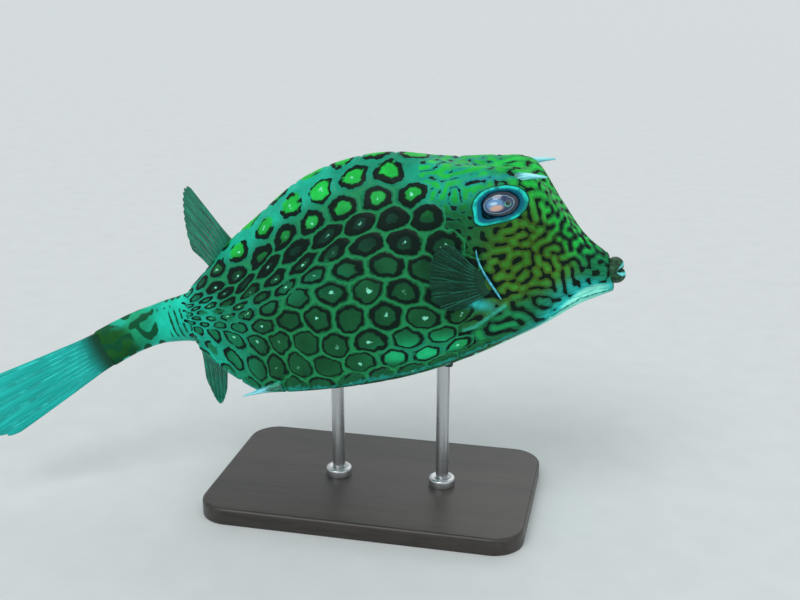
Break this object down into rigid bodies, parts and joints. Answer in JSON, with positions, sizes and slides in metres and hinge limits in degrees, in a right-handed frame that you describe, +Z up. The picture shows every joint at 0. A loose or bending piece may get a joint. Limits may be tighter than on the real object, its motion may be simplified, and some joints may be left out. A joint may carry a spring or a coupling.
{
  "type": "honeycomb cowfish",
  "caption": "Life-size museum model of a boxfish with a rigid shell of raised six-sided plates, brow horns and a tail curved to one side, on a display stand.",
  "frame": {"origin": "centre of the stand's underside, on the surface that the stand rests on", "axes": "+X towards the fish's head, +Y towards its left side, +Z up"},
  "size_m": [0.2932, 0.093, 0.166],
  "materials": {
    "skin": "painted hard skin over bony plates, green with dark rings, satin",
    "fin_web": "thin translucent fin web over rays, green to blue-green",
    "pale_horn": "pale blue-green horn and spine, satin",
    "lips": "smooth fleshy lip, dark with a pale rim",
    "eye": "glossy clear eye",
    "stand_board": "black lacquered board, satin",
    "stand_steel": "brushed round rod"
  },
  "bodies": {
    "root": {"head": "skin", "trunk": "skin", "tail_stalk": "skin", "horn_right": "pale_horn", "horn_left": "pale_horn", "keel_spine_right": "pale_horn", "keel_spine_left": "pale_horn", "eye_right": "eye", "eye_left": "eye", "upper_lip": "lips", "lower_lip": "lips", "tail_fin": "fin_web", "dorsal_fin": "fin_web", "anal_fin": "fin_web", "pectoral_fin_right": "fin_web", "pectoral_fin_left": "fin_web", "stand_base": "stand_board", "stand_rod_front": "stand_steel", "stand_rod_rear": "stand_steel"}
  },
  "joints": []
}
